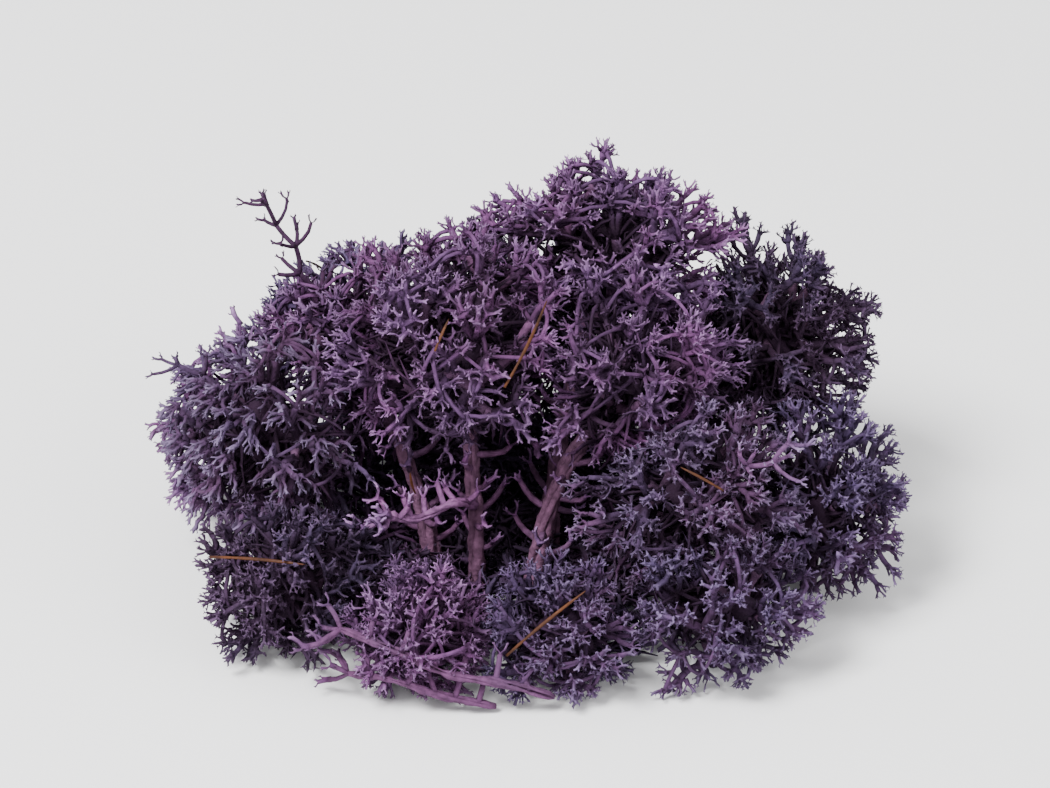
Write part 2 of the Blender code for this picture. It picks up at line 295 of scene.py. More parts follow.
def modelFork(number, style, draw):
    # a stem that parts into two arms, and each arm into two tines
    stem = style["stem"] * draw.uniform(0.7, 1.5)
    piece = startSprig("fork_%d" % number, 4, style["radius"], stem)
    for half, lean in halvesAt(piece, [up * stem]):
        way = (up + lean * style["spread"] * draw.uniform(0.7, 1.35)).normalized()
        length = style["branch"] * draw.uniform(0.7, 1.35)
        elbow = drawTwig(piece, half, way * length * 0.55, 0.8)
        bent = (way + up * draw.uniform(0.2, 1.2)).normalized()
        ends = drawTwig(piece, elbow, bent * length * 0.5, 1.05)
        centre = (ends[0] + ends[1]) / 2
        for end in ends:
            splay = (end - centre).normalized() * style["splay"] * draw.uniform(0.7, 1.3)
            tine = (bent + splay).normalized()
            tip = drawTwig(piece, [end], tine * style["tip"] * draw.uniform(0.35, 0.8), 0.85)
            forkAt(piece, tip, style["tip"] * draw.uniform(0.3, 0.6))
    return piece


def modelWorm(number, style, draw):
    # a long wavy stem with one or two short tines at its end
    piece = startSprig("worm_%d" % number, 4, style["radius"], style["foot"])
    lean = Vector((draw.gauss(0, 1), draw.gauss(0, 1), 0)).normalized()
    spots = [up * style["foot"]]
    for bow, girth in style["bows"]:
        spots = drawTwig(piece, spots, (up + lean * bow) * style["stem"] * 0.36, girth)
    for half, aside in halvesAt(piece, spots):
        way = (up + aside * style["spread"] * draw.uniform(0.6, 1.4)).normalized()
        ends = drawTwig(piece, half, way * style["branch"] * draw.uniform(0.5, 0.9), 0.85)
        centre = (ends[0] + ends[1]) / 2
        for end in ends:
            tine = (way + (end - centre).normalized() * style["splay"]).normalized()
            tip = drawTwig(piece, [end], tine * style["tip"] * draw.uniform(0.3, 0.7), 0.8)
            forkAt(piece, tip, style["tip"] * 0.4)
    return piece


def modelProng(number, style, draw):
    # a plain three-pronged twig, for the dark inside and the ground
    stem = style["stem"] * draw.uniform(0.8, 1.3)
    piece = startSprig("prong_%d" % number, 3, style["radius"], stem)
    middle, thirds = forkAt(piece, [up * stem])
    for third in thirds:
        lean = (third - middle).normalized()
        way = (up + lean * style["spread"] * draw.uniform(0.6, 1.5)).normalized()
        end = drawTwig(piece, [third], way * style["branch"] * draw.uniform(0.6, 1.4), 0.8)
        forkAt(piece, end, style["tip"])
    return piece


def modelSprigs():
    made = {}
    models = {"crown": modelCrown, "fork": modelFork, "worm": modelWorm, "prong": modelProng}
    for kind, model in models.items():
        made[kind] = []
        for number in range(sprigStyle[kind]["variants"]):
            piece = model(number, sprigStyle[kind], random.Random(100 + number))
            bpy.ops.object.mode_set(mode="OBJECT")
            bpy.ops.object.shade_smooth()
            made[kind].append(piece)
        print(kind, "sprigs modelled, faces:", [len(each.data.polygons) for each in made[kind]])
    return made


def splitSpots(spots, parts, draw):
    # puts spots into a few bunches of near neighbours
    chosen = [draw.randrange(len(spots))]
    while len(chosen) < parts:
        gaps = np.min([np.linalg.norm(spots - spots[pick], axis=1) for pick in chosen], axis=0)
        chosen.append(int(np.argmax(gaps)))
    middles = spots[chosen]
    for _ in range(5):
        nearest = np.argmin(np.linalg.norm(spots[:, None] - middles[None], axis=2), axis=1)
        for part in range(parts):
            if np.any(nearest == part):
                middles[part] = spots[nearest == part].mean(axis=0)
    return [np.where(nearest == part)[0] for part in range(parts) if np.any(nearest == part)]


tufts = {  # the small rounded bunches that a head's skin is made of
    "size": 10.5,
    "fewest": 8,
    "density": 1.2,
    "shake": (0.03, 0.12),  # how unevenly sprigs and tufts are spread
    "crease": 0.17,  # how much shorter the twigs between two tufts are
    "creaseWidth": 1.25,
    "uneven": 0.07,
    "edge": (0.95, 0.55),  # where two tufts meet, and how many sprigs are kept there
    "insideShare": 0.2,  # how many are kept where a head ends against the next one
    "underShare": 0.3,  # sprigs that stop short, under the skin
    "underReach": (0.62, 0.88),
    "shortest": 0.42,  # in radii: a way with less room gets no sprig
    "stemGap": 0.86,  # the cosine of the angle that stays clear round the stem
    "below": -0.15,
    "crowd": 0.25,  # how much more sprigs stand on the outer side
}

branching = {  # how a head's limbs share out the way to its rim
    "shares": (0.30, 0.36, 0.42, 0.46, 0.5),
    "limbForks": (2, 3, 3),
    "tuftForks": (2, 3, 3, 4),
    "twigRadius": 0.38,
    "thicken": 0.20,  # a limb's radius grows with this power of the sprigs it carries
    "knots": (0.84, 1.12),
    "wander": 0.11,
    "sideways": 0.85,
    "leaving": 1.15,  # how stiffly a branch leaves a fork, and arrives at the next
    "arriving": 0.9,
    "steps": {"finest": 2, "slender": 3, "stout": 5},
    "stoutFrom": 20,  # limbs with more sprigs than this are stout
    "rootShare": 0.5,  # how far the first fork is from the centre, in radii
    "arcGap": (3.2, 7.5),  # the forks that an arc may join
    "arcRise": (0.5, 1.4),
    "arcGirth": (0.9, 0.774, 0.756, 0.774, 0.9),
}


def countOn(radius, spacing):
    # how many sprigs this far apart cover a sphere
    return int(4 * math.pi * radius**2 / spacing**2 / 0.87)


def targetsOf(name, draw):
    # where each sprig of a head ends, and the tuft that it belongs to
    centre, radius = cells[name]
    habit = habits[heads[name].habit]
    ways = evenWays(countOn(radius, habit.spacing), draw.uniform(0, 6))
    ways = unit(ways + outerWay(name) * tufts["crowd"])
    ways = unit(ways + np.array([scatter(draw, tufts["shake"][0]) for _ in ways]))
    count = int(4 * math.pi * radius**2 / tufts["size"]**2 * tufts["density"])
    middles = evenWays(max(tufts["fewest"], count), draw.uniform(0, 6))
    middles = unit(middles + np.array([scatter(draw, tufts["shake"][1]) for _ in middles]))
    closeness = ways @ middles.T
    tuft = np.argmax(closeness, axis=1)
    apart = np.arccos(np.clip(closeness.max(axis=1), -1, 1)) / (tufts["size"] / radius / 2)
    height = np.array([draw.uniform(-1, 1) for _ in middles])[tuft]
    limit, inside = reachOf(name, ways)
    crease = tufts["crease"] * np.minimum(apart, tufts["creaseWidth"]) ** 2
    reach = limit * (1 + tufts["uneven"] * (height - 1) - crease)
    luck = np.array([draw.random() for _ in ways])
    keep = (limit > radius * tufts["shortest"]) & (ways @ -rootOf(name)[1] < tufts["stemGap"])
    keep &= ~inside | (luck < tufts["insideShare"])
    keep &= (apart < tufts["edge"][0]) | (luck < tufts["edge"][1])
    keep &= (ways[:, 2] > tufts["below"]) | (luck < habit.lowShare)
    under = np.array([draw.random() for _ in ways]) < tufts["underShare"]
    reach = np.where(under, reach * np.array([draw.uniform(*tufts["underReach"]) for _ in ways]), reach)
    return (centre + ways * reach[:, None])[keep], tuft[keep]


def bend(start, startWay, end, endWay, steps):
    # points of a smooth branch between two forks
    length = np.linalg.norm(end - start)
    share = np.linspace(0, 1, steps + 1)[:, None]
    turnOut = startWay * length * branching["leaving"]
    turnIn = endWay * length * branching["arriving"]
    return (start * (2 * share**3 - 3 * share**2 + 1) + turnOut * (share**3 - 2 * share**2 + share)
            + end * (3 * share**2 - 2 * share**3) + turnIn * (share**3 - share**2))


def arc(start, middle, end, steps):
    # points of a plain bow that leans towards its middle point
    share = np.linspace(0, 1, steps + 1)[:, None]
    return start * (1 - share) ** 2 + middle * 2 * share * (1 - share) + end * share**2


def growLimbs(name, targets, tuft, root, rootWay, draw):
    # forks from the root towards the tufts, and in each tuft until every target has its own branch
    centre = cells[name][0]
    droop = np.array([-0.25, 0, -1]) * habits[heads[name].habit].droop
    branches, ends, forks = [], [], []

    def bunchesOf(picks):
        here = np.unique(tuft[picks])
        if len(here) == 1:
            parts = min(len(picks), draw.choice(branching["tuftForks"]))
            return splitSpots(targets[picks], parts, draw) if parts > 1 else [np.array([0])]
        middles = np.array([targets[picks][tuft[picks] == each].mean(axis=0) for each in here])
        split = splitSpots(middles, min(len(here), draw.choice(branching["limbForks"])), draw)
        return [np.where(np.isin(tuft[picks], here[part]))[0] for part in split]

    def grow(picks, start, startWay, level, startRadius):
        spots = targets[picks]
        for bunch in bunchesOf(picks):
            aim = spots[bunch].mean(axis=0)
            radius = branching["twigRadius"] * len(bunch) ** branching["thicken"]
            away = aim - start
            far = np.linalg.norm(away)
            if len(bunch) == 1:
                share = max(0.3, 1 - sprigStyle["height"] / max(far, 1e-6))
            else:
                share = branching["shares"][min(level, 4)] * draw.uniform(0.8, 1.2)
            jitter = scatter(draw, 1) * branching["wander"] * far * share
            end = start + away * share + jitter
            run = unit(end - start)
            aside = run - startWay * (run @ startWay)
            sideways = unit(aside) * branching["sideways"] * draw.uniform(0.6, 1.3)
            leave = unit(run + sideways + startWay * 0.2)
            arrive = unit(run * 0.6 + unit(end - centre) * 0.6 + droop * min(1, level / 3))
            steps = branching["steps"]["slender" if len(bunch) > 1 else "finest"]
            if len(bunch) > branching["stoutFrom"]:
                steps = branching["steps"]["stout"]
            line = bend(start, leave, end, arrive, steps)
            thick = np.linspace(min(startRadius, radius * 1.15), radius, steps + 1)
            thick[1:-1] *= [draw.uniform(*branching["knots"]) for _ in thick[1:-1]]
            branches.append((line, thick))
            if len(bunch) == 1:
                ends.append((end, arrive, aim, tuft[picks[bunch[0]]]))
            else:
                if level > 1:
                    forks.append((end, radius))
                grow(picks[bunch], end, arrive, level + 1, radius)

    rootRadius = branching["twigRadius"] * len(targets) ** branching["thicken"]
    grow(np.arange(len(targets)), root, rootWay, 0, rootRadius)
    return branches, ends, forks


def growArcs(name, forks, draw):
    # bowed twigs from fork to fork, which close the round dark holes between the limbs
    centre, radius = cells[name]
    spots = np.array([fork[0] for fork in forks])
    outside = [index for index, spot in enumerate(spots) if np.linalg.norm(spot - centre) > radius * 0.5]
    draw.shuffle(outside)
    arcs = []
    for index in outside[: habits[heads[name].habit].arcs]:
        gaps = np.linalg.norm(spots - spots[index], axis=1)
        near = np.where((gaps > branching["arcGap"][0]) & (gaps < branching["arcGap"][1]))[0]
        if not len(near):
            continue
        other = int(near[draw.randrange(len(near))])
        start, girth = forks[index]
        end, otherGirth = forks[other]
        out = unit((start + end) / 2 - centre)
        across = unit(end - start)
        rise, fall = (out * draw.uniform(*branching["arcRise"]) for _ in range(2))
        line = bend(start, unit(across + rise), end, unit(across - fall), 4)
        arcs.append((line, min(girth, otherGirth) * np.array(branching["arcGirth"])))
    return arcs


def threeSided():
    # the section of the finest twigs
    section = bpy.data.curves.new("twig_section", "CURVE")
    corners = section.splines.new("POLY")
    corners.points.add(2)
    for corner, angle in zip(corners.points, (0, -math.tau / 3, -2 * math.tau / 3)):
        corner.co = (math.cos(angle), math.sin(angle), 0, 1)
    corners.use_cyclic_u = True
    return newObject("twig_section", section)


def tubes(name, lines, roundness, tone, bare=0.0):
    # one curve object holds all the lines, and becomes a mesh; with no roundness its twigs have three sides
    curve = bpy.data.curves.new(name, "CURVE")
    curve.dimensions = "3D"
    if roundness is None:
        curve.bevel_mode = "OBJECT"
        curve.bevel_object = bpy.data.objects["twig_section"]
    else:
        curve.bevel_depth = 1
        curve.bevel_resolution = roundness
    curve.use_fill_caps = True
    for line, thick in lines:
        spline = curve.splines.new("POLY")
        spline.points.add(len(line) - 1)
        spline.points.foreach_set("co", np.c_[line, np.ones(len(line))].ravel())
        spline.points.foreach_set("radius", thick)
        spline.use_smooth = True
    holder = newObject(name, curve)
    bpy.context.view_layer.update()
    mesh = bpy.data.meshes.new_from_object(holder.evaluated_get(bpy.context.evaluated_depsgraph_get()))
    bpy.data.objects.remove(holder)
    closed = bmesh.new()
    closed.from_mesh(mesh)
    bmesh.ops.remove_doubles(closed, verts=closed.verts, dist=1e-5)
    closed.to_mesh(mesh)
    closed.free()
    markAll(mesh, tone, bare)
    return newObject(name, mesh)


def spotsOf(mesh):
    spots = np.zeros(len(mesh.vertices) * 3)
    mesh.vertices.foreach_get("co", spots)
    return spots.reshape(-1, 3)


def giveAttribute(mesh, label, values):
    layer = mesh.attributes.get(label) or mesh.attributes.new(label, "FLOAT", "POINT")
    layer.data.foreach_set("value", np.asarray(values, np.float32))


def markAll(mesh, tone, bare=0.0):
    count = len(mesh.vertices)
    giveAttribute(mesh, "tone", [tone] * count)
    giveAttribute(mesh, "tip", [0.0] * count)
    giveAttribute(mesh, "bare", [bare] * count)


def sizeFor(spot, aim, draw):
    # a sprig on the end of a branch is long enough to reach its target
    low, high = sprigStyle["stretch"]
    return min(high, max(low, np.linalg.norm(aim - spot) / sprigStyle["height"])) * draw.uniform(0.9, 1.1)


def shade(parts, depth):
    # colours parts with painted shade, as dark as if they lay this far under a head's skin
    for part in parts:
        giveAttribute(part.data, "depth", [depth] * len(part.data.vertices))
    return parts


def placeSprig(source, spot, way, tone, size, draw):
    # a copy of a sprig, stood on a spot
    copy = newObject("copy", source.data.copy())
    lie = Vector(way) + Vector(scatter(draw, sprigStyle["lean"]))
    spin = Matrix.Rotation(draw.uniform(0, math.tau), 4, "Z")
    turn = lie.to_track_quat("Z", "Y").to_matrix().to_4x4() @ spin
    markAll(copy.data, tone)
    giveAttribute(copy.data, "tip", spotsOf(copy.data)[:, 2] / sprigStyle["height"])
    copy.data.transform(Matrix.Translation(Vector(spot)) @ turn @ Matrix.Scale(size, 4))
    return copy


def footOf(name):
    # where one of the dome's stems stands, and the point above it that it leans towards
    foot = spotOf((*trunks["feet"][name], 0))
    return foot, np.array([foot[0], foot[1], heads[name].centre[2] * trunks["kneeShare"]])


def stemLine(name, root):
    # the bare stem from the ground up to the first fork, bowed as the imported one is
    if name in trunks["feet"]:
        foot, knee = footOf(name)
    elif heads[name].centre[2] <= trunks["lowHeadTop"]:
        foot = cells[name][0] * (1, 1, 0)
        knee = (foot + root) / 2
    else:
        return None
    line = arc(foot, knee, root, trunks["steps"])
    flare = (1 - np.linspace(0, 1, len(line))) ** 4 * (1 if name in trunks["feet"] else trunks["lowFlare"])
    thick = trunks["waistRadius"] + (trunks["baseRadius"] - trunks["waistRadius"]) * flare
    return line, thick


def bundle(line, thick, draw):
    # the strands of one bare stem, wound round its middle line
    along = unit(np.gradient(line, axis=0))
    side = unit(np.cross(along, (0.31, 0.77, 0.55)))
    other = np.cross(along, side)
    strands = []
    turns = np.linspace(0, trunks["strandTurns"], len(line))[:, None]
    swing, often = trunks["strandWave"]
    for number in range(trunks["strands"]):
        turn = math.tau * (number / trunks["strands"] + turns)
        far = thick[:, None] * (1 - trunks["strandRadius"]) * draw.uniform(0.9, 1.35)
        wave = 1 + swing * np.sin(turn * often + draw.uniform(0, 6))
        girth = thick * trunks["strandRadius"] * draw.uniform(0.8, 1.15)
        strands.append((line + (side * np.cos(turn) + other * np.sin(turn)) * far * wave, girth))
    return strands


def roughen(piece):
    # knots and fine wrinkles on a bare stem
    for vertex in piece.data.vertices:
        rough = sum(noise.noise(vertex.co * often) * height for often, height in trunks["rough"])
        vertex.co += vertex.normal * rough


def makeStem(name, root, sprigs, draw):
    # the stem with its rough skin, and on the dome's stems a few short side twigs
    stem = stemLine(name, root)
    if not stem:
        return []
    line, thick = stem
    tall = name in trunks["feet"]
    piece = tubes("stem", bundle(line, thick, draw), 2, *trunks["skin"][tall])
    roughen(piece)
    parts, twigs = [piece], []
    for number in range(trunks["twigs"] if tall else 0):
        low, span = trunks["twigSpan"]
        place = int(len(line) * (low + span * number / trunks["twigs"]))
        turn = number * trunks["twigTurn"] + draw.uniform(-0.5, 0.5)
        aside = np.array([math.cos(turn), math.sin(turn), 0])
        lean = unit(aside + (0, 0, draw.uniform(0.1, 0.9)))
        end = line[place] + lean * draw.uniform(*trunks["twigLength"])
        rise = unit(aside * 0.5 + (0, 0, 1))
        twigs.append((bend(line[place], aside, end, rise, 4), np.linspace(*trunks["twigRadius"], 5)))
        parts.append(placeSprig(draw.choice(sprigs["fork"]), end, rise, 0.6, draw.uniform(0.8, 1.1), draw))
    if twigs:
        parts.append(tubes("twigs", twigs, 1, 0.4, 0.5))
    return parts


def rootOf(name):
    # where a head's first fork is, and the way its stem is heading there
    centre, radius = cells[name]
    if name in trunks["feet"]:
        way = unit(centre - footOf(name)[1])
        return centre - way * radius * branching["rootShare"], way
    if heads[name].centre[2] <= trunks["lowHeadTop"]:
        way = np.array([0, 0, 1.0])
        return centre - way * min(radius, centre[2]) * branching["rootShare"], way
    way = outerWay(name)
    return centre - way * radius * branching["rootShare"] * 0.8, way


tangle = {  # the old twigs that fill the middle of a head, painted dark as the shade in there
    "core": 0.30,
    "coreShift": 0.06,  # outwards, in radii
    "lumps": 0.9,
    "lumpSizes": (3.5, 1.6),
    "sprigSpacing": 2.7,
    "sprigSize": (1.0, 1.5),
    "sprigLean": 0.5,
    "strands": 0.04,  # for each square millimetre of the head
    "from": 0.3,
    "by": (0.5, 0.62),
    "to": (0.5, 0.72),
    "turn": (0.35, 0.9),
    "radius": 0.36,
    "girth": (1.2, 1.1, 1.0, 0.75, 0.12),
}


def makeCore(name, sprigs, draw):
    # a small lumpy knot in the middle of the head, with sprigs all over it, painted dark as the shade deep
    # inside the head
    centre, radius = cells[name]
    size = radius * tangle["core"]
    middle = Vector(centre + outerWay(name) * radius * tangle["coreShift"])
    bpy.ops.object.select_all(action="DESELECT")
    bpy.ops.mesh.primitive_ico_sphere_add(subdivisions=3, radius=size, location=middle)
    piece = bpy.context.active_object
    bpy.ops.object.transform_apply(location=True, rotation=True, scale=True)
    bpy.ops.object.shade_smooth()
    coarse, fine = tangle["lumpSizes"]
    for vertex in piece.data.vertices:
        lump = noise.noise(vertex.co / coarse) + 0.5 * noise.noise(vertex.co / fine)
        vertex.co = middle + (vertex.co - middle) * (1 + tangle["lumps"] * lump)
    # painted shade: the knot and its sprigs take the darkest tones
    markAll(piece.data, 0.0)
    parts = [piece]
    for way in evenWays(countOn(size, tangle["sprigSpacing"]), draw.uniform(0, 6)):
        spot = np.array(middle) + way * size * 0.95
        lie = unit(way + scatter(draw, tangle["sprigLean"]))
        source = draw.choice(sprigs["prong"])
        parts.append(placeSprig(source, spot, lie, 0.15, draw.uniform(*tangle["sprigSize"]), draw))
    return parts


def makeTangle(name, draw):
    # bent dead strands that cross each other between the core and the tufts
    centre, radius = cells[name]
    count = int(4 * math.pi * radius**2 * tangle["strands"])
    ways = evenWays(count, draw.uniform(0, 6))
    lines = []
    for way, far in zip(ways, reachOf(name, ways)[0]):
        turn = unit(scatter(draw, 1))
        start = centre + way * far * tangle["from"]
        middle = centre + unit(way + turn * tangle["turn"][0]) * far * draw.uniform(*tangle["by"])
        end = centre + unit(way + turn * tangle["turn"][1]) * far * draw.uniform(*tangle["to"])
        lines.append((arc(start, middle, end, 4), np.array(tangle["girth"]) * tangle["radius"]))
    # painted shade: the strands take a dark tone
    return tubes("tangle", lines, None, 0.2)


litter = {  # loose twigs that lie on the ground under the clump, and more of them in the hollow, painted dark as the shade there
    "patches": (
        {"middle": (-1, 2), "across": (43, 34), "height": (0.7, 5.0), "strands": 620, "sprigs": 640},
        {"middle": (-4, -4), "across": (25, 19), "height": (0.7, 4.0), "strands": 330, "sprigs": 380},
        {"middle": (-4, 27), "across": (38, 13), "height": (0.7, 11.0), "strands": 320, "sprigs": 330},
    ),
    "length": (5, 11),
    "radius": (0.3, 0.5),
    "girth": (0.3, 0.9, 1.0, 0.9, 0.3),
    "sprigSize": (1.0, 1.5),
    "sprigLean": 0.8,
    "tone": (0.05, 0.45),
    "depth": 6.0,  # painted shade: as dark as if it lay this far under a head's skin
}


def layLitter():
    # where each loose twig lies; it belongs to the head that it lies nearest to
    draw = random.Random(900)
    laid = {name: ([], []) for name in heads}

    def nearest(spot):
        return list(heads)[int(np.argmin(np.linalg.norm(headSpots - spot, axis=1) - headSizes))]

    for patch in litter["patches"]:
        middle, across = spotOf((*patch["middle"], 0))[:2], np.array(patch["across"], float)

        def somewhere():
            turn, far = draw.uniform(0, math.tau), math.sqrt(draw.random())
            spot = middle + np.array([math.cos(turn), math.sin(turn)]) * far * across
            return np.array([*spot, draw.uniform(*patch["height"])])

        def outside(spot, share):
            return np.linalg.norm((spot[:2] - middle) / across) > share

        for _ in range(patch["strands"]):
            start = somewhere()
            turn = draw.uniform(0, math.tau)
            run = np.array([math.cos(turn), math.sin(turn), 0]) * draw.uniform(*litter["length"])
            if outside(start + run, 1):
                run = -run
            end = start + run + (0, 0, draw.uniform(-2, 2))
            end[2] = max(end[2], patch["height"][0])
            if outside(end, 1.05):
                continue
            aside = unit(np.cross(run, (0, 0, 1))) * draw.uniform(-1, 1)
            line = bend(start, unit(unit(run) + aside), end, unit(unit(run) - aside), 4)
            thick = np.array(litter["girth"]) * draw.uniform(*litter["radius"])
            laid[nearest(line[2])][0].append((line, thick))
        for _ in range(patch["sprigs"]):
            spot = somewhere()
            lean = litter["sprigLean"]
            lie = unit([draw.gauss(0, lean), draw.gauss(0, lean), draw.uniform(0.1, 1.0)])
            tone, size = draw.uniform(*litter["tone"]), draw.uniform(*litter["sprigSize"])
            laid[nearest(spot)][1].append((spot, lie, tone, size))
    return laid


def makeLitter(laid, sprigs, draw):
    lines, twigs = laid
    parts = [placeSprig(draw.choice(sprigs["prong"]), *twig, draw) for twig in twigs]
    if lines:
        parts.append(tubes("litter", lines, None, 0.25))
    return shade(parts, litter["depth"])


bareLimbs = {  # thick bare limbs that show in front: the head they belong to, their points and thickness
    "side limb": {
        "head": "head_dome_front",
        "points": ((-8.4, -7.0, 16), (-11.5, -11.0, 18.6), (-17, -14.0, 17.6), (-21, -16.0, 19.4)),
        "radius": (0.85, 0.62), "spray": 8, "tone": 0.75,
    },
    "lying stem": {
        "head": "head_low_front_left",
        "points": (
            (-28, -36.0, 12.0), (-20, -39.8, 10.6), (-12, -41.0, 7.4), (-4, -41.2, 5.8), (4, -40.2, 2.6)),
        "radius": (0.5, 0.8), "spray": 5, "tone": 0.22,
    },
    "lying stem below": {
        "head": "head_low_front_left",
        "points": ((-27, -38.0, 5.4), (-20, -40.4, 5.6), (-12, -40.8, 3.0), (-5, -40.4, 1.2)),
        "radius": (0.45, 0.7), "spray": 4, "tone": 0.18,
    },
}

limbStyle = {
    "bare": (0.4, 0.28),  # how much the limb and its twigs look like a bare stem
    "torn": (0.85, 0.4),  # how the torn end narrows
    "knots": (0.88, 1.12),
    "sprayLength": (2.5, 6.0),
    "sideTwigs": 6,
    "sideLength": (1.8, 4.2),
    "twigRadius": (0.5, 0.42),
}


def curveThrough(points, steps):
    # a smooth line that passes through all the points
    points = np.array(points, float)
    points = np.vstack([2 * points[0] - points[1], points, 2 * points[-1] - points[-2]])
    line = []
    for before, start, end, after in zip(points, points[1:], points[2:], points[3:]):
        for step in range(steps):
            share = step / steps
            straight = 2 * start + (end - before) * share
            curved = (2 * before - 5 * start + 4 * end - after) * share**2
            eased = (3 * start - before - 3 * end + after) * share**3
            line.append(0.5 * (straight + curved + eased))
    return np.array(line + [points[-2]])


def makeBareLimb(limb, sprigs, draw):
    line = curveThrough([spotOf(point) for point in limb["points"]], 8)
    thick = np.linspace(*limb["radius"], len(line))
    thick[1:-1] *= [draw.uniform(*limbStyle["knots"]) for _ in thick[1:-1]]
    if limb["radius"][0] < limb["radius"][1]:
        line, thick = line[::-1], thick[::-1]
        thick[1] *= limbStyle["torn"][0]
        thick[0] *= limbStyle["torn"][1]
    parts, twigs = [tubes("limb", bundle(line, thick, draw), 2, limb["tone"], limbStyle["bare"][0])], []
    roughen(parts[0])
    sideRadius, tipRadius = limbStyle["twigRadius"]

    def addTwig(spot, leave, end, arrive, girth, size):
        twigs.append((bend(spot, leave, end, arrive, 3), np.linspace(girth, tipRadius, 4)))
        parts.append(placeSprig(draw.choice(sprigs["fork"]), end, arrive, limb["tone"], size, draw))

    ahead = unit(line[-1] - line[-2])
    for _ in range(limb["spray"]):
        aside = unit(np.cross(ahead, scatter(draw, 1)))
        lean = unit(ahead + aside * draw.uniform(0.5, 1.4))
        end = line[-1] + lean * draw.uniform(*limbStyle["sprayLength"])
        arrive = unit(ahead + aside * draw.uniform(0.1, 0.9))
        addTwig(line[-1], unit(ahead + aside), end, arrive, thick[-1] * 0.8, draw.uniform(0.9, 1.2))
    for number in range(1, limbStyle["sideTwigs"] + 1):
        place = int(len(line) * number / (limbStyle["sideTwigs"] + 1))
        aside = unit(np.cross(line[place + 1] - line[place], [draw.gauss(0, 1), draw.gauss(0, 1), 0.3]))
        aside[1:] = abs(aside[1:])
        end = line[place] + aside * draw.uniform(*limbStyle["sideLength"])
        addTwig(line[place], aside, end, unit(aside + (0, 0, 0.6)), sideRadius, draw.uniform(0.6, 0.9))
    parts.append(tubes("limbTwigs", twigs, 1, limb["tone"], limbStyle["bare"][1]))
    return shade(parts, 0.0)


strays = {  # single sprigs that stand out: the way, how far from the centre, how pale, and how shaded
    "head_dome_left": {"way": (-0.47, 0.2, 0.86), "far": 35, "tone": 0.05, "shade": 6.0},
    "head_right_front": {"way": (0.66, -0.35, 0.66), "far": 26, "tone": 1.0, "shade": 0.0},
    "head_left": {"way": (-0.74, 0.18, 0.64), "far": 23, "tone": 0.3, "shade": 2.5},
}

strayStyle = {
    "from": 0.6,  # in radii from the head's centre
    "joint": 4.3,  # from one kink to the next
    "kink": 0.36,
    "turn": 2.4,  # how far each kink turns round the stem from the last one
    "radius": 0.48,
    "taper": 0.35,
    "twig": 3.8,
    "twigTurns": (1.9, 3.6, 5.0),
    "twigGirth": (1, 0.85, 0.8, 0.75),
    "sprig": 0.7,
    "lastSprig": 0.9,
}


def makeStray(name, sprigs, draw):
    # a long thin stem that kinks at each joint, where short twigs leave it
    centre, radius = cells[name]
    stray = strays[name]
    out = unit(stray["way"])
    place = centre + out * radius * strayStyle["from"]
    joints = round((stray["far"] - radius * strayStyle["from"] - 4) / strayStyle["joint"])
    lines, parts = [], []
    side = unit(np.cross(out, (0.3, 0.2, 1)))

    def sideWay(angle):
        return side * math.cos(angle) + np.cross(out, side) * math.sin(angle)

    for joint in range(joints + 1):
        girth = strayStyle["radius"] * (1 - strayStyle["taper"] * joint / joints)
        turn = strayStyle["turn"] * joint + draw.uniform(-0.4, 0.4)
        twigs = strayStyle["twigTurns"][: draw.choice((2, 2, 3))] if joint else ()
        for angle in twigs:
            branch = sideWay(turn + angle)
            length = strayStyle["twig"] * draw.uniform(0.5, 1.3)
            end = place + unit(out * 0.55 + branch) * length
            arrive = unit(branch + out * draw.uniform(0.6, 1.6))
            line = bend(place, unit(branch + out * 0.2), end, arrive, 3)
            lines.append((line, girth * np.array(strayStyle["twigGirth"])))
            source = draw.choice(sprigs["fork"])
            size = strayStyle["sprig"] * draw.uniform(0.7, 1.1)
            parts.append(placeSprig(source, end, arrive, stray["tone"], size, draw))
        heading = unit(out + sideWay(turn) * strayStyle["kink"])
        if joint < joints:
            ahead = place + heading * strayStyle["joint"]
            line = bend(place, unit(heading + sideWay(turn) * 0.3), ahead, unit(out + heading), 4)
            lines.append((line, np.linspace(girth, girth * 0.92, 5)))
            place = ahead
    source = draw.choice(sprigs["fork"])
    parts.append(placeSprig(source, place, heading, stray["tone"], strayStyle["lastSprig"], draw))
    return shade([tubes("stray", lines, 1, stray["tone"]), *parts], stray["shade"])


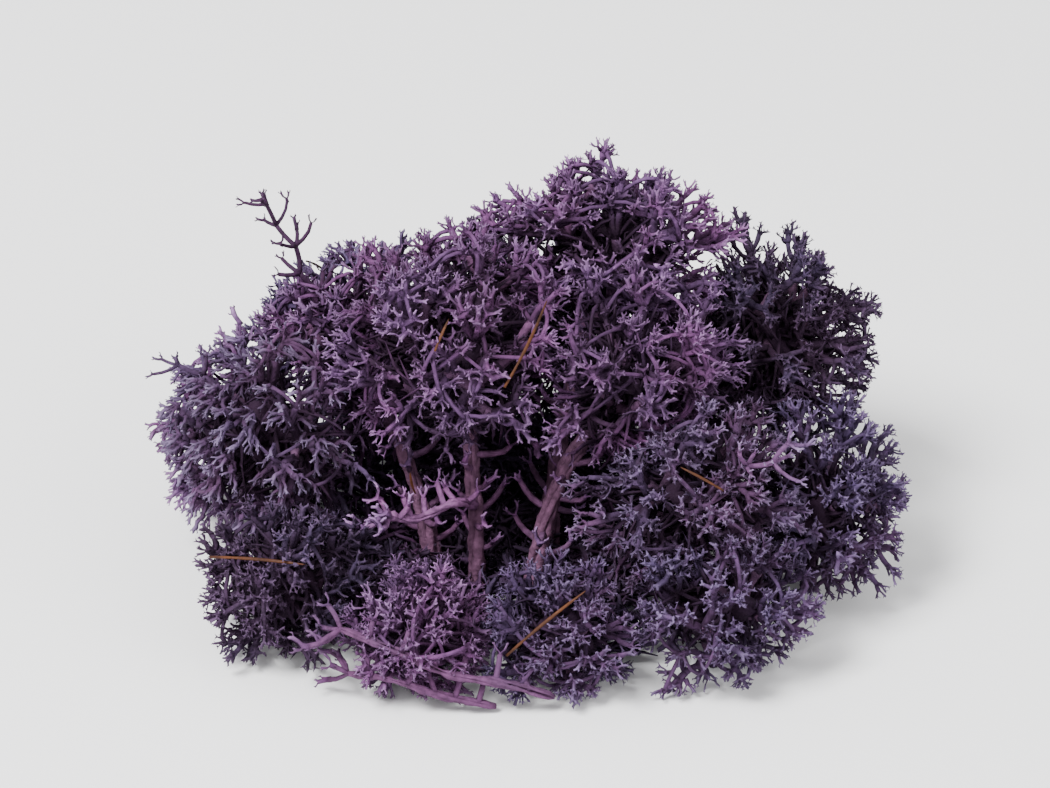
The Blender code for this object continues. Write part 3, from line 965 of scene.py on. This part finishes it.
def makeHead(name, number, sprigs, laid):
    draw = random.Random(500 + number)
    root, rootWay = rootOf(name)
    targets, tuft = targetsOf(name, draw)
    branches, ends, forks = growLimbs(name, targets, tuft, root, rootWay, draw)
    branches += growArcs(name, forks, draw)
    kinds = habits[heads[name].habit].kinds
    fewest, most = branching["steps"]["finest"] + 1, branching["steps"]["stout"] + 1
    finest = [branch for branch in branches if len(branch[0]) == fewest]
    slender = [branch for branch in branches if fewest < len(branch[0]) < most]
    stout = [branch for branch in branches if len(branch[0]) == most]
    paler = heads[name].paler
    piece = tubes(name.replace("head", "lichen"), slender, 0, 0.5 + paler)
    parts = [piece, tubes("finest", finest, None, 0.45 + paler), makeTangle(name, draw)]
    parts += makeCore(name, sprigs, draw)
    tuftTone = [draw.random() for _ in range(max(tuft) + 1)]
    for spot, way, aim, bunch in ends:
        tone = 0.2 + 0.35 * tuftTone[bunch] + 0.25 * draw.random() + paler
        source = draw.choice(sprigs[draw.choice(kinds)])
        parts.append(placeSprig(source, spot, way, tone, sizeFor(spot, aim, draw), draw))
    for part in parts:
        markDepth(part.data, name, 1.0)
    strong = makeStem(name, root, sprigs, draw)
    if stout:
        strong.append(tubes("limbs", stout, 1, 0.5 + paler, 0.5))
    for part in strong:
        markDepth(part.data, name, 0.5)
    parts += strong
    if name in strays:
        parts += makeStray(name, sprigs, draw)
    for limb in bareLimbs.values():
        if limb["head"] == name:
            parts += makeBareLimb(limb, sprigs, draw)
    parts += makeLitter(laid, sprigs, draw)
    bpy.ops.object.select_all(action="DESELECT")
    for part in parts:
        part.select_set(True)
    bpy.context.view_layer.objects.active = piece
    bpy.ops.object.join()
    settle(piece)
    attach(piece, "root")
    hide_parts(name)
    piece.data.materials.clear()
    piece.data.materials.append(bpy.data.materials["lichen_" + heads[name].dye])
    return piece


skinWays = evenWays(500, 0)
skins = {}


def markDepth(mesh, name, share):
    # how many millimetres each point lies under the head's skin, which darkens its colour as painted shade;
    # the stout limbs keep more of their colour
    centre = cells[name][0]
    if name not in skins:
        skins[name] = reachOf(name, skinWays)[0]
    away = spotsOf(mesh) - centre
    nearest = np.argmax(unit(away) @ skinWays.T, axis=1)
    under = skins[name][nearest] - np.linalg.norm(away, axis=1)
    giveAttribute(mesh, "depth", np.clip(under, 0, 20) * share)


def settle(piece):
    # nothing goes below the ground, and the piece goes from millimetres to metres
    spots = np.maximum(spotsOf(piece.data), (-np.inf, -np.inf, 0))
    piece.data.vertices.foreach_set("co", (spots * mm).ravel())
    piece.data.update()


dyes = {  # two colours that the dye runs between, and the colour of the tips
    "plum": {"main": (0.112, 0.041, 0.116), "other": (0.084, 0.041, 0.104), "tip": (0.2, 0.114, 0.232)},
    "orchid": {"main": (0.128, 0.047, 0.134), "other": (0.092, 0.046, 0.116), "tip": (0.232, 0.128, 0.265)},
    "lavender": {"main": (0.06, 0.036, 0.082), "other": (0.064, 0.028, 0.068), "tip": (0.146, 0.107, 0.19)},
    "violet": {"main": (0.05, 0.033, 0.08), "other": (0.062, 0.029, 0.074), "tip": (0.145, 0.106, 0.2)},
    "dusk": {"main": (0.037, 0.019, 0.043), "other": (0.033, 0.022, 0.049), "tip": (0.085, 0.052, 0.1)},
}

finish = {
    "patchScale": 55,  # per metre: how fast the dye drifts from one colour to the other
    "patchEdge": (0.42, 0.58),
    "speckScale": 900,
    "speck": (0.6, 1.35),
    "grainScale": 1800,
    "grain": (0.8, 0.0003),
    "bright": (0.45, 1.75),  # the darkest and the palest tone
    "bareStem": (0.12, 0.054, 0.1),
    # painted shade: the near-black that twigs deep inside a head are darkened to
    "paintedShade": (0.019, 0.008, 0.02),
    "paintedShadeFrom": (1.5, 11.0),  # millimetres under the skin, over which the painted shade comes on
    "roughness": (0.7, 0.95),
    "specular": 0.12,
}


class Nodes:
    # a small helper to lay out and join shader nodes
    def __init__(self, material):
        material.use_nodes = True
        self.tree = material.node_tree
        self.shader = self.tree.nodes["Principled BSDF"]

    def add(self, kind, **settings):
        node = self.tree.nodes.new("ShaderNode" + kind)
        for key, value in settings.items():
            setattr(node, key, value)
        return node

    def join(self, source, target):
        self.tree.links.new(source, target)

    def attribute(self, label):
        return self.add("Attribute", attribute_name=label).outputs["Fac"]

    def noise(self, scale, detail=3.0):
        spots = self.add("TexCoord").outputs["Object"]
        texture = self.add("TexNoise")
        texture.inputs["Scale"].default_value = scale
        texture.inputs["Detail"].default_value = detail
        self.join(spots, texture.inputs["Vector"])
        return texture.outputs["Fac"]

    def remap(self, value, low, high, newLow=0.0, newHigh=1.0):
        node = self.add("MapRange")
        numbers = {"From Min": low, "From Max": high, "To Min": newLow, "To Max": newHigh}
        for socket, number in numbers.items():
            node.inputs[socket].default_value = number
        self.join(value, node.inputs["Value"])
        return node.outputs["Result"]

    def mottle(self, scale, detail, low, high):
        # a noise that runs from low to high
        return self.remap(self.noise(scale, detail), 0.3, 0.7, low, high)

    def mix(self, factor, first, second, blend="MIX"):
        node = self.add("Mix", data_type="RGBA", blend_type=blend)
        for socket, value in zip((node.inputs[0], node.inputs[6], node.inputs[7]), (factor, first, second)):
            if isinstance(value, tuple):
                socket.default_value = (*value, 1)
            elif isinstance(value, float):
                socket.default_value = value
            else:
                self.join(value, socket)
        return node.outputs[2]

    def bump(self, height, strength, distance):
        node = self.add("Bump")
        node.inputs["Strength"].default_value = strength
        node.inputs["Distance"].default_value = distance
        self.join(height, node.inputs["Height"])
        self.join(node.outputs["Normal"], self.shader.inputs["Normal"])


def lichen(dye):
    # dyed twigs: blotched, speckled and grainy, with pale tips and bare stems, and darkened with painted
    # shade deep in a head
    colours = dyes[dye]
    material = bpy.data.materials.new("lichen_" + dye)
    nodes = Nodes(material)
    drift = nodes.remap(nodes.noise(finish["patchScale"], 2.0), *finish["patchEdge"])
    skin = nodes.mix(drift, colours["main"], colours["other"])
    skin = nodes.mix(nodes.attribute("bare"), skin, finish["bareStem"])
    tips = nodes.remap(nodes.attribute("tip"), 0.15, 1.0)
    skin = nodes.mix(tips, skin, colours["tip"])
    bright = nodes.remap(nodes.attribute("tone"), 0.0, 1.0, *finish["bright"])
    skin = nodes.mix(1.0, skin, bright, "MULTIPLY")
    skin = nodes.mix(1.0, skin, nodes.mottle(finish["speckScale"], 5.0, *finish["speck"]), "MULTIPLY")
    # painted shade: the deeper a point lies under the head's skin, the nearer its colour comes to near-black
    depth = nodes.remap(nodes.attribute("depth"), *finish["paintedShadeFrom"])
    nodes.join(nodes.mix(depth, skin, finish["paintedShade"]), nodes.shader.inputs["Base Color"])
    roughness = nodes.mottle(finish["speckScale"], 3.0, *finish["roughness"])
    nodes.join(roughness, nodes.shader.inputs["Roughness"])
    nodes.shader.inputs["Specular IOR Level"].default_value = finish["specular"]
    nodes.bump(nodes.noise(finish["grainScale"], 5.0), *finish["grain"])
    return material


needles = {  # the head it lies on, the way to it from there, the way it points, and its length
    "needle_dome": ("head_dome_front", (0.5, -0.7, 0.52), (0.5, 0.1, 0.6), 15),
    "needle_left": ("head_low_left", (-0.3, -0.6, 0.75), (0.9, -0.3, 0.1), 15),
    "needle_front": ("head_low_front", (-0.25, -0.75, 0.65), (0.8, 0.35, 0.5), 15),
    "bit_crown": ("head_dome_front", (-0.15, -0.75, 0.62), (0.3, 0.2, 0.9), 5),
    "bit_trunk": ("head_dome_front", (-0.3, -0.75, -0.45), (0.1, 0.1, 1.0), 6),
    "bit_right": ("head_right_front", (0.1, -0.7, 0.65), (-0.8, 0.3, 0.3), 7),
    "bit_back": ("head_back", (0.1, 0.75, 0.5), (0.9, 0.1, -0.3), 9),
    "bit_back_left": ("head_back_left", (-0.4, 0.7, 0.45), (0.4, 0.4, -0.6), 8),
}

needleStyle = {
    "radius": (0.27, 0.2295),  # of a packed needle, and of a loose bit
    "flat": 0.6,
    "packedLength": 15,
    "sag": 1.3,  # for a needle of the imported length
    "sunk": (1.2, 1.3),  # how deep a packed needle and a loose bit lie among the tips
    "girth": (0.8, 0.85, 0.7, 0.9, 1.0, 1.0, 1.0, 0.95, 0.9, 0.8, 0.62, 0.4),
    "point": 1.6,
    "colours": ((0.072, 0.023, 0.008), (0.03, 0.011, 0.006)),
    "specular": 0.15,
}


def modelNeedle(name, centre, out, run, length, radius):
    # a flat dry needle, drawn out section by section along a shallow arc, with a pointed end
    out, run = unit(out), np.asarray(run, float)
    run = unit(run - out * (run @ out))
    girth = needleStyle["girth"]
    sag = needleStyle["sag"] * length / needleStyle["packedLength"]
    shares = np.linspace(-1, 1, len(girth) + 1)
    line = [centre + run * share * length / 2 - out * sag * share**2 for share in shares]
    along = Vector(line[1] - line[0])
    bpy.ops.object.select_all(action="DESELECT")
    bpy.ops.mesh.primitive_cylinder_add(
        vertices=7, radius=radius * girth[0], depth=along.length, location=(line[0] + line[1]) / 2,
        rotation=along.to_track_quat("Z", "Y").to_euler())
    piece = bpy.context.active_object
    piece.name = name
    bpy.ops.object.transform_apply(location=True, rotation=True, scale=True)
    bpy.ops.object.mode_set(mode="EDIT")
    for index in range(1, len(girth)):
        pickFaces(piece, [Vector(line[index])])
        bpy.ops.mesh.extrude_region_move(TRANSFORM_OT_translate={"value": line[index + 1] - line[index]})
        change = girth[index] / girth[index - 1]
        bpy.ops.transform.resize(value=(change, change, change), center_override=line[index + 1])
    pickFaces(piece, [Vector(line[-1])])
    bpy.ops.mesh.poke(offset=radius * needleStyle["point"])
    bpy.ops.object.mode_set(mode="OBJECT")
    bpy.ops.object.shade_smooth()
    place = Matrix.Translation(centre)
    piece.data.transform(place @ Matrix.Scale(needleStyle["flat"], 4, Vector(out)) @ place.inverted())
    piece.data.transform(Matrix.Scale(mm, 4))
    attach(piece, "root")
    piece.data.materials.append(bpy.data.materials["needle_skin"])
    return piece


def dryNeedle():
    material = bpy.data.materials.new("needle_skin")
    nodes = Nodes(material)
    skin = nodes.mix(nodes.remap(nodes.noise(260), 0.35, 0.65), *needleStyle["colours"])
    skin = nodes.mix(1.0, skin, nodes.mottle(1500, 3.0, 0.7, 1.3), "MULTIPLY")
    nodes.join(skin, nodes.shader.inputs["Base Color"])
    nodes.join(nodes.mottle(800, 3.0, 0.45, 0.75), nodes.shader.inputs["Roughness"])
    nodes.shader.inputs["Specular IOR Level"].default_value = needleStyle["specular"]
    nodes.bump(nodes.noise(1900), 0.4, 0.0001)
    return material


def makeNeedles():
    # a needle lies on its head's rim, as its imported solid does, and a loose bit on the clump's skin
    dryNeedle()
    for name, (head, way, run, length) in needles.items():
        centre, radius = cells[head]
        out = unit(way)
        if name.startswith("needle_"):
            spot = centre + out * (radius - needleStyle["sunk"][0])
            piece = modelNeedle(name + "_dry", spot, out, run, length, needleStyle["radius"][0])
            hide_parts(name)
        else:
            spot = centre + out * (reachOf(head, out[None])[0][0] - needleStyle["sunk"][1])
            modelNeedle("needle_" + name, spot, out, run, length, needleStyle["radius"][1])


view = {"elevation": 31, "distance": 1.2, "lens": 270, "sensor": 36, "aim": (0, 0, 0.029)}

studio = {
    "floorSize": 6,
    "floorColour": (0.86, 0.86, 0.87, 1),
    "floorRoughness": 0.9,
    "air": 1.1,  # the soft light from all round
    "lights": {  # place, size and power
        "key": ((-0.5, -0.45, 1.0), 0.45, 34),
        "fill": ((0.8, -0.5, 0.5), 0.8, 6),
    },
}


def addCamera():
    camera = newObject("camera", bpy.data.cameras.new("camera"))
    tilt = math.radians(view["elevation"])
    back = Vector((0, -math.cos(tilt), math.sin(tilt)))
    camera.location = Vector(view["aim"]) + back * view["distance"]
    camera.rotation_euler = (-back).to_track_quat("-Z", "Y").to_euler()
    camera.data.lens = view["lens"]
    camera.data.sensor_width = view["sensor"]
    bpy.context.scene.camera = camera


def addStudio():
    bpy.ops.object.select_all(action="DESELECT")
    bpy.ops.mesh.primitive_plane_add(size=studio["floorSize"], location=(0, 0, 0))
    floor = bpy.context.active_object
    floor.name = "floor"
    paper = bpy.data.materials.new("paper")
    paper.use_nodes = True
    shader = paper.node_tree.nodes["Principled BSDF"]
    shader.inputs["Base Color"].default_value = studio["floorColour"]
    shader.inputs["Roughness"].default_value = studio["floorRoughness"]
    floor.data.materials.append(paper)
    world = bpy.data.worlds.new("studio")
    bpy.context.scene.world = world
    world.use_nodes = True
    world.node_tree.nodes["Background"].inputs["Color"].default_value = (1, 1, 1, 1)
    world.node_tree.nodes["Background"].inputs["Strength"].default_value = studio["air"]
    for name, (spot, size, power) in studio["lights"].items():
        light = newObject(name, bpy.data.lights.new(name, "AREA"))
        light.data.size = size
        light.data.energy = power
        light.location = spot
        light.rotation_euler = (-Vector(spot)).to_track_quat("-Z", "Y").to_euler()


addCamera()
addStudio()
print("camera and studio set up")
for dye in dyes:
    lichen(dye)
section = threeSided()
sprigs = modelSprigs()
loose = layLitter()
print("loose twigs laid out")
for number, name in enumerate(heads):
    made = makeHead(name, number, sprigs, loose[name])
    print(name, len(made.data.polygons), "faces")
for each in (*sum(sprigs.values(), []), section):
    bpy.data.objects.remove(each)
makeNeedles()
print("needles laid in")
